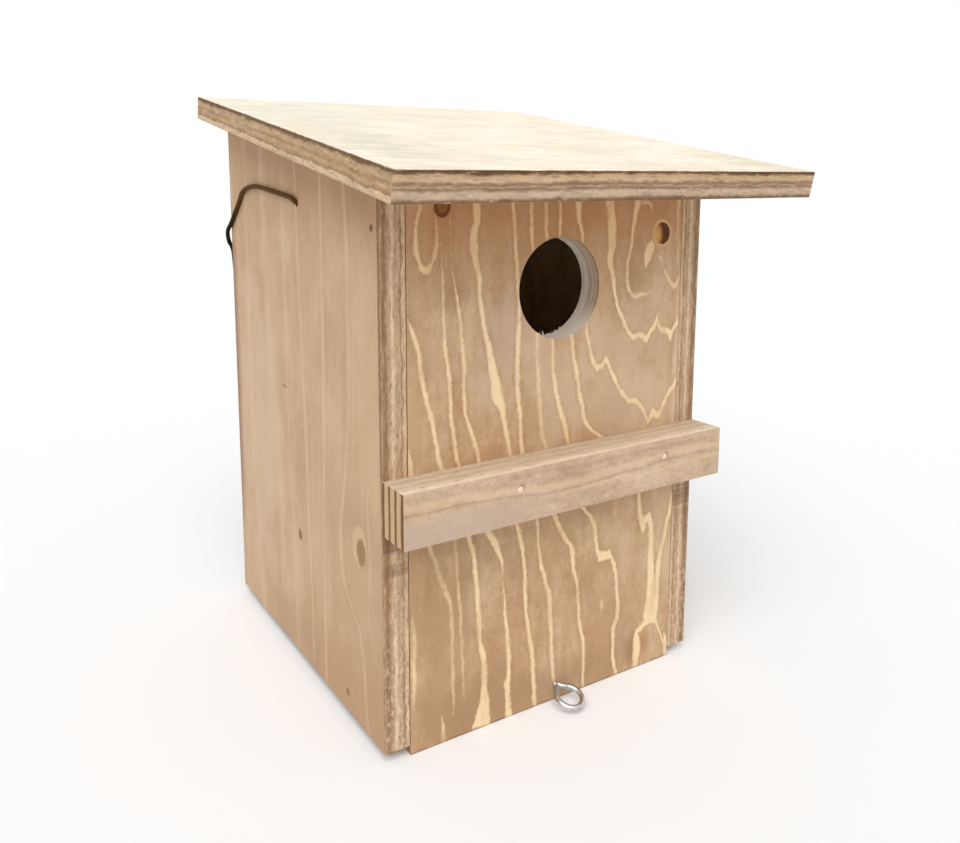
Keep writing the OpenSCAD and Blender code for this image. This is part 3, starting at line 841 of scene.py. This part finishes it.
def bar_material():
    t = Tree("bar_ply")
    u = t.x - MID
    z = t.z - BAR[0].z
    depth = t.y - BAR[0].y
    thick = BAR[1].y - BAR[0].y
    flat = t.ny.abs().faces()
    tone, fibres = wood_tone(t, z, u, t.y, (rgb(184, 155, 126), rgb(195, 167, 140),
                                            rgb(204, 179, 154)), 81, 1.4)
    wobble = (t.noise(u * 0.05, z * 0.1, 0, 2, 0.5, 83) - 0.5) * 4
    pale = grain_lines(t, u, z + wobble, [
        [(17.5, -92, 2.4), (16, -45, 3), (13, -10, 2.6), (14.5, 30, 2.8),
                (16.5, 60, 2.4), (15, 92, 2)],
        [(8, -30, 0), (9.5, 10, 1.2), (9, 50, 1.4), (10.5, 92, 1)]])
    tone = t.mix(pale.step(-1.6, 1.2) * 0.5, tone, rgb(220, 190, 155))
    brown = grain_lines(t, u, z + wobble, [
        [(14.5, -92, 0.5), (13, -45, 0.7), (10.2, -10, 0.6), (11.6, 30, 0.7),
                (13.4, 60, 0.5), (12.2, 92, 0.4)],
        [(20.5, -40, 0), (19.4, 0, 0.5), (20.4, 60, 0.5), (20, 92, 0)]])
    tone = t.mix(brown.step(-0.7, 0.5) * 0.4, tone, rgb(158, 122, 92))
    grey = (u + (wobble * 9)).step(10, -70) * (z + wobble * 0.4).step(13, 8)
    tone = t.mix(grey * 0.75, tone, rgb(190, 168, 150))
    for nail_u, nail_z in BAR_NAILS:
        # Painted shadow: a darker spot just above and to the right of each filled nail head.
        nail_shade_spot = knot(t.z, u, (nail_u + 0.8, nail_z + 0.8), (4, 3.6)) + wobble * 0.05
        tone = t.mix(nail_shade_spot.step(1.15, 0.55) * 0.55, tone, rgb(150, 118, 90))
    share = depth / thick
    ends, end_pores = edge_tone(t, share, z, 0, bar_plies(), 85, 0.35)
    # The palest stops, at the front of the bar's top and bottom faces, are a painted highlight along
    # the front edge; the rest are plies.
    long_edge, long_pores = edge_tone(t, share, u, 0, [
        (0, 228, 210, 184), (0.09, 233, 215, 190), (0.20, 216, 197, 172),
        (0.30, 210, 191, 166), (0.42, 200, 178, 152), (0.55, 212, 193, 168),
        (0.70, 194, 172, 146), (0.84, 208, 188, 162), (1, 188, 164, 138)],
        88, 0.7)
    sideways = t.nx.abs().faces()
    colour = t.mix(flat, t.mix(sideways, long_edge, ends), tone)
    height = fibres * 0.05 + (1 - flat) * long_pores * 0.15 + sideways * end_pores * 0.2
    return t.finish(colour, 0.66, height, 0.22)


def zinc_material(name, base, roughness):
    t = Tree(name)
    spangle = t.noise(t.x * 0.6, t.y * 0.6, t.z * 0.6, 3, 0.6, 91)
    dull = t.noise(t.x * 0.16, t.y * 0.16, t.z * 0.16, 2, 0.5, 92)
    colour = t.mix(dull.step(0.40, 0.62) * 0.5, base, rgb(132, 134, 138))
    colour = t.shade(colour, 0.84 + spangle * 0.32)
    return t.finish(colour, roughness + (dull - 0.5) * 0.22, spangle * 0.03, 0.5, 1)


def nail_material():
    t = Tree("nail_steel")
    rust = t.noise(t.x * 0.9, t.y * 0.9, t.z * 0.9, 3, 0.6, 95)
    colour = t.mix(rust.step(0.42, 0.62), rgb(104, 66, 38), rgb(142, 104, 72))
    return t.finish(colour, 0.6, rust * 0.08, 0.3, 0.25)


def wire_material():
    t = Tree("wire_coat")
    scuff = t.noise(t.x * 0.5, t.y * 0.5, t.z * 0.5, 3, 0.6, 97)
    # Painted sheen: the top of the bent wire is lighter brown, mixed with real scuffs.
    painted_top_sheen = t.z.step(WIRE[1].z - 26, WIRE[1].z - 6)
    colour = t.mix(painted_top_sheen * 0.7 + scuff.step(0.48, 0.66) * 0.3, rgb(34, 22, 12), rgb(98, 72, 38))
    return t.finish(colour, 0.6 + (scuff - 0.5) * 0.3, scuff * 0.03, 0.03)


def filler_material():
    t = Tree("nail_filler")
    grit = t.noise(t.x * 1.5, t.y * 1.5, t.z * 1.5, 2, 0.6, 99)
    colour = t.mix(grit.step(0.4, 0.65), rgb(218, 196, 166), rgb(238, 220, 192))
    return t.finish(colour, 0.55, grit * 0.06)


def splinter_material(name, dull, clean):
    t = Tree(name)
    grit = t.noise(t.x * 1.5, t.y * 1.5, t.z * 0.4, 2, 0.6, 101)
    colour = t.mix(grit.step(0.4, 0.65), dull, clean)
    return t.finish(colour, 0.7, grit * 0.1)


# ---------------------------------------------------------------- pieces in mesh code


def mesh_piece(name, verts_mm, faces, material, body, smooth=True):
    mesh = bpy.data.meshes.new(name)
    mesh.from_pydata([Vector(v) * MM for v in verts_mm], [], faces)
    mesh.validate()
    mesh.update()
    for p in mesh.polygons:
        p.use_smooth = smooth
    mesh.materials.append(material)
    piece = bpy.data.objects.new(name, mesh)
    bpy.context.scene.collection.objects.link(piece)
    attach(piece, body)
    return piece


def tube_mesh(path, radii, sides):
    """Rings carried along a path without twist, closed by a fan at each end."""
    count = len(path)
    tangents = [(path[min(i + 1, count - 1)] - path[max(i - 1, 0)]).normalized()
                for i in range(count)]
    side = tangents[0].orthogonal().normalized()
    verts = []
    for p, along, r in zip(path, tangents, radii):
        side = (side - along * side.dot(along)).normalized()
        other = along.cross(side)
        for k in range(sides):
            a = 2 * math.pi * k / sides
            verts.append(p + side * (r * math.cos(a)) + other * (r * math.sin(a)))
    faces = []
    for i in range(count - 1):
        for k in range(sides):
            q = (k + 1) % sides
            faces.append((i * sides + k, i * sides + q, (i + 1) * sides + q, (i + 1) * sides + k))
    verts += [path[0], path[-1]]
    for k in range(sides):
        q = (k + 1) % sides
        faces.append((count * sides, q, k))
        faces.append((count * sides + 1, (count - 1) * sides + k, (count - 1) * sides + q))
    return verts, faces


def smooth_path(points, steps):
    """A Catmull-Rom curve through the points."""
    out = []
    last = len(points) - 1
    for i in range(last):
        a, b = points[max(i - 1, 0)], points[i]
        c, d = points[i + 1], points[min(i + 2, last)]
        for j in range(steps):
            s = j / steps
            out.append(0.5 * (2 * b + (c - a) * s + (2 * a - 5 * b + 4 * c - d) * s * s
                              + (3 * b - a - 3 * c + d) * s ** 3))
    out.append(points[-1])
    return out


def rounded_ends(path, radius):
    """Radii along a path that close in a half round at both ends."""
    lengths = [0]
    for a, b in zip(path, path[1:]):
        lengths.append(lengths[-1] + (b - a).length)
    radii = []
    for s in lengths:
        d = min(s, lengths[-1] - s, radius)
        radii.append(max(0.02, math.sqrt(max(radius ** 2 - (radius - d) ** 2, 0))))
    return radii


WIRE_R = 1.2
WIRE_OFF = WIRE_R + 0.2
HOLE_BACK = 101.5  # the wire's holes, in front of the back edge
ARCH = [  # half of the wire: out of the side's face, behind the back edge, above the hole
    (-PLY - WIRE_OFF, -HOLE_BACK, -9), (-PLY - WIRE_OFF, -HOLE_BACK, -2.4),
    (-PLY - 0.4, -HOLE_BACK, -0.5), (-PLY + 2, -HOLE_BACK, 0), (-2.5, -HOLE_BACK, 0),
    (0, -HOLE_BACK, 0.6), (WIRE_OFF, -HOLE_BACK + 1.2, 2), (WIRE_OFF, -HOLE_BACK + 6, 3.2),
    (WIRE_OFF, -77, 5.5), (WIRE_OFF, -55, 8), (WIRE_OFF, -43, 8.6), (WIRE_OFF, -32, 7.4),
    (WIRE_OFF, -25, 5), (WIRE_OFF, -20, 0.5), (WIRE_OFF, -11, -6.6), (WIRE_OFF, -4, -12),
    (WIRE_OFF, 2.2, -16), (0.8, 5.2, -19.2), (0, 5.3, -23.5), (-2, 5, -28.7)]
LOOP_DOWN = 109
LOOP_STEPS = 9


def hanging_wire():
    """The bent wire, on the same route as its CAD solid."""
    half = list(ARCH)
    wide = (RIGHT[1].x - LEFT[0].x) / 2
    drop = -ARCH[-1][2]
    for i in range(1, LOOP_STEPS + 1):
        a = math.radians(90 * i / LOOP_STEPS)
        out = max(WIRE_OFF, 5 - 6 * math.sin(a))
        half.append((-2 - (wide - 2) * (1 - max(math.cos(a), 0) ** 0.8), out,
                     -drop - (LOOP_DOWN - drop) * math.sin(a) ** 0.9))
    back = LEFT[1].y
    hole_z = WIRE[0].z + WIRE_R + LOOP_DOWN
    left = [Vector((MID - wide - p[0], back + p[1], hole_z + p[2])) for p in half]
    right = [Vector((2 * MID - p.x, p.y, p.z)) for p in left[-2::-1]]
    path = smooth_path(left + right, 5)
    verts, faces = tube_mesh(path, rounded_ends(path, WIRE_R), 16)
    piece = mesh_piece("bent_wire", verts, faces, wire_material(), "box")
    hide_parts("hanging_wire")


EYE_WIRE_R = 1.3
EYE_SHANK_R = 1.2
EYE_RING_R = 6.3
EYE_NECK = 3.1  # from the front's face to the ring's near side, along the shank
EYE_DEPTH = 9
EYE_AT = (2.1, 8)  # to the right of the middle and above the front's bottom edge
EYE_TURN = (3, 17, 13)  # about the shank, down and to the right, in degrees


def wire_eye(material):
    """The eye as one bent wire: shank, neck, and a ring whose end comes back to the neck."""
    turn, droop, lean = (math.radians(a) for a in EYE_TURN)
    place = (Matrix.Translation((MID + EYE_AT[0], FACE, EYE_AT[1]))
             @ Matrix.Rotation(lean, 4, "Z") @ Matrix.Rotation(droop, 4, "X")
             @ Matrix.Rotation(-turn, 4, "Y"))
    middle = Vector((0, -EYE_NECK - EYE_RING_R, 0))
    points = [Vector((0, k, 0)) for k in (EYE_DEPTH, 6, 3, 1, -0.4)]
    points.append(Vector((-0.2, -1.5, 0)))
    first, last, count = 30, 328, 40
    for i in range(count + 1):
        a = math.radians(first + i * (last - first) / count)
        points.append(middle + Vector((-math.sin(a), math.cos(a), 0)) * EYE_RING_R)
    points += [Vector((2.2, -2.9, 0)), Vector((1.3, -1.8, 0)), Vector((0.7, -0.8, 0)),
               Vector((0.4, 0.4, 0))]
    path = smooth_path(points, 3)
    radii = [min(r, EYE_SHANK_R) if p.y > -0.4 else r
             for r, p in zip(rounded_ends(path, EYE_WIRE_R), path)]
    verts, faces = tube_mesh(path, radii, 18)
    piece = mesh_piece("wire_eye", [place @ v for v in verts], faces, material, "front")
    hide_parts("screw_eye")


def nail_disc(name, u, z, radius, material):
    """A filled nail head: a low dome in the bar's face with an uneven rim."""
    rng = random.Random(name)
    sides = 18
    rings = ((1, 0.16), (0.95, 0), (0.75, -0.08), (0.4, -0.12), (0, -0.13))
    verts, faces = [], []
    wobble = [1 + rng.uniform(-0.12, 0.12) for _ in range(sides)]
    for share, depth in rings[:-1]:
        for k in range(sides):
            a = 2 * math.pi * k / sides
            r = radius * share * wobble[k]
            verts.append((MID + u + r * math.cos(a), BAR[0].y + depth, z + r * math.sin(a)))
    verts.append((MID + u, BAR[0].y + rings[-1][1], z))
    for ring in range(len(rings) - 2):
        for k in range(sides):
            q = (k + 1) % sides
            faces.append((ring * sides + k, ring * sides + q,
                          (ring + 1) * sides + q, (ring + 1) * sides + k))
    last = (len(rings) - 2) * sides
    for k in range(sides):
        faces.append((last + k, last + (k + 1) % sides, len(verts) - 1))
    mesh_piece(name, verts, faces, material, "front")


def splinters(name, material, angles, lengths, seed):
    """Torn fibres on the back rim of the entrance hole, at its bottom."""
    rng = random.Random(seed)
    verts, faces = [], []
    for angle, long in zip(angles, lengths):
        a = math.radians(angle)
        half = rng.uniform(0.4, 0.7)
        across = Vector((-math.sin(a), 0, math.cos(a)))
        inward = Vector((-math.cos(a), 0, -math.sin(a)))
        foot = Vector((HOLE.x, FACE + PLY - 0.5, HOLE.z)) - inward * (HOLE_R + 0.4)
        tip = foot + inward * (0.4 + long) + Vector((0, rng.uniform(-0.5, 0.2), 0))
        base = len(verts)
        for thick in (-0.45, 0.40):
            verts += [foot - across * half + Vector((0, thick, 0)),
                      foot + across * half + Vector((0, thick, 0))]
        verts += [tip + across * rng.uniform(-0.4, 0.4)]
        faces += [(base, base + 1, base + 4), (base + 3, base + 2, base + 4),
                  (base + 2, base, base + 4), (base + 1, base + 3, base + 4),
                  (base + 1, base, base + 2, base + 3)]
    mesh_piece(name, verts, faces, material, "front", smooth=False)


def dress(node, material, bevel_mm=0):
    """Gives a CAD node its material, and eased edges where the real board has them."""
    part = frame["nodes"][node]
    part.data.materials.clear()
    part.data.materials.append(material)
    if bevel_mm:
        weld = part.modifiers.new("weld", "WELD")
        weld.merge_threshold = 0.00001
        ease = part.modifiers.new("eased_edges", "BEVEL")
        ease.width = bevel_mm * MM
        ease.segments = 2
        ease.limit_method = "ANGLE"
        ease.angle_limit = math.radians(40)


# ---------------------------------------------------------------- camera, light and floor


CAMERA_AT_M = (-0.24564, -0.36533, 0.24449)
CAMERA_LOOKS = (0.49484, 0.85744, -0.14116)
CAMERA_ROLL = -0.45  # in degrees
CAMERA_LENS = 31.34
CAMERA_SHIFT = (0.0653, -0.1177)
LIGHT_GIVEN = 0.62  # strength of the white world as a light
LIGHT_SEEN = 1  # and as what is seen behind the box
FLOOR_HALF_M = 6
FLOOR_DROP_M = 0.0002  # keeps the floor clear of the box's feet
FLOOR_COLOUR = (0.896, 0.905, 0.914, 1)
EASE_INNER = 0.35  # eased edges of the back and the floor board
EASE_OUTER = 0.4  # and of the boards seen from outside


def camera():
    data = bpy.data.cameras.new("camera")
    data.sensor_width = 36
    data.lens = CAMERA_LENS
    data.shift_x, data.shift_y = CAMERA_SHIFT
    data.clip_start = 0.01
    data.clip_end = 50
    cam = bpy.data.objects.new("camera", data)
    forward = Vector(CAMERA_LOOKS).normalized()
    right = forward.cross(Vector((0, 0, 1))).normalized()
    up = right.cross(forward)
    roll = math.radians(CAMERA_ROLL)
    turned_right = right * math.cos(roll) + up * math.sin(roll)
    turned_up = up * math.cos(roll) - right * math.sin(roll)
    turned = Matrix((turned_right, turned_up, -forward)).transposed()
    cam.matrix_world = Matrix.Translation(CAMERA_AT_M) @ turned.to_4x4()
    bpy.context.scene.collection.objects.link(cam)
    bpy.context.scene.camera = cam


def sun(name, towards, strength, angle):
    data = bpy.data.lights.new(name, "SUN")
    data.energy = strength
    data.angle = math.radians(angle)
    lamp = bpy.data.objects.new(name, data)
    lamp.rotation_euler = Vector(towards).to_track_quat("-Z", "Y").to_euler()
    bpy.context.scene.collection.objects.link(lamp)


def world():
    """A white world that is seen at full strength and gives a softer light."""
    made = bpy.data.worlds.new("studio")
    bpy.context.scene.world = made
    made.use_nodes = True
    nodes, links = made.node_tree.nodes, made.node_tree.links
    nodes.clear()
    path = nodes.new("ShaderNodeLightPath")
    seen = path.outputs["Is Camera Ray"]
    for kind in ("Is Glossy Ray", "Is Transmission Ray"):
        either = nodes.new("ShaderNodeMath")
        either.operation = "MAXIMUM"
        links.new(seen, either.inputs[0])
        links.new(path.outputs[kind], either.inputs[1])
        seen = either.outputs[0]
    mix = nodes.new("ShaderNodeMixShader")
    links.new(seen, mix.inputs[0])
    for slot, strength in ((1, LIGHT_GIVEN), (2, LIGHT_SEEN)):
        roof_shade_edge = nodes.new("ShaderNodeBackground")
        roof_shade_edge.inputs["Color"].default_value = (1, 1, 1, 1)
        roof_shade_edge.inputs["Strength"].default_value = strength
        links.new(roof_shade_edge.outputs[0], mix.inputs[slot])
    out = nodes.new("ShaderNodeOutputWorld")
    links.new(mix.outputs[0], out.inputs[0])


def studio_floor():
    half = FLOOR_HALF_M
    mesh = bpy.data.meshes.new("studio_floor")
    mesh.from_pydata([(-half, -half, 0), (half, -half, 0), (half, half, 0), (-half, half, 0)],
                     [], [(0, 1, 2, 3)])
    floor = bpy.data.objects.new("studio_floor", mesh)
    floor.location.z = -FLOOR_DROP_M
    bpy.context.scene.collection.objects.link(floor)
    material = bpy.data.materials.new("studio_floor")
    material.use_nodes = True
    shader = material.node_tree.nodes["Principled BSDF"]
    shader.inputs["Base Color"].default_value = FLOOR_COLOUR
    shader.inputs["Roughness"].default_value = 0.9
    shader.inputs["Specular IOR Level"].default_value = 0.1
    mesh.materials.append(material)


# ---------------------------------------------------------------- putting it together

bpy.context.scene.view_settings.view_transform = "Standard"
camera()
world()
studio_floor()
sun("key", (0.50, 0.62, -0.95), 2, 50)

dress("front_panel", front_material())
dress("left_side", side_material("left_side_ply", -1, LEFT_LINES, LEFT_CRISP, 3, [
    ((20.5, 88), (9, 12.4), rgb(156, 120, 80), 0.95),
    ((91, 70.5), (4.2, 5.8), rgb(138, 94, 56), 0.9),
    ((37, 13.5), (3, 4), rgb(136, 100, 68), 0.8),
    ((107, 145), (8, 1.8), rgb(150, 118, 90), 0.6)]))
dress("right_side", side_material("right_side_ply", 1, RIGHT_LINES, RIGHT_CRISP, 43, [
    ((128, 149), (10, 14), rgb(168, 132, 96), 0.9),
    ((62, 205), (5, 6), rgb(140, 104, 70), 0.8)]))
dress("back_panel", inner_board_material("back_ply", True, 111), EASE_INNER)
dress("floor_panel", inner_board_material("floor_ply", False, 121), EASE_INNER)
dress("roof_panel", roof_material(), EASE_OUTER)
dress("landing_bar", bar_material(), EASE_OUTER)
nail = nail_material()
dress("pivot_nail_left", nail)
dress("pivot_nail_right", nail)

hanging_wire()
wire_eye(zinc_material("zinc", rgb(214, 215, 218), 0.30))
filler = filler_material()
for side, place in zip(("left", "right"), BAR_NAILS):
    nail_disc("bar_nail_" + side, *place, 1.45, filler)
splinters("pale_splinters", splinter_material("pale_fibre", rgb(222, 208, 192), rgb(244, 234, 222)),
          (-101, -96, -91, -84, -72, -66), (0.9, 1.6, 2.3, 0.8, 0.9, 1.3), 7)
splinters("dark_splinters", splinter_material("dark_fibre", rgb(96, 66, 42), rgb(150, 116, 86)),
          (-104, -98.5, -88, -80, -76, -69), (1.3, 0.9, 1.2, 1.5, 0.9, 1.1), 11)
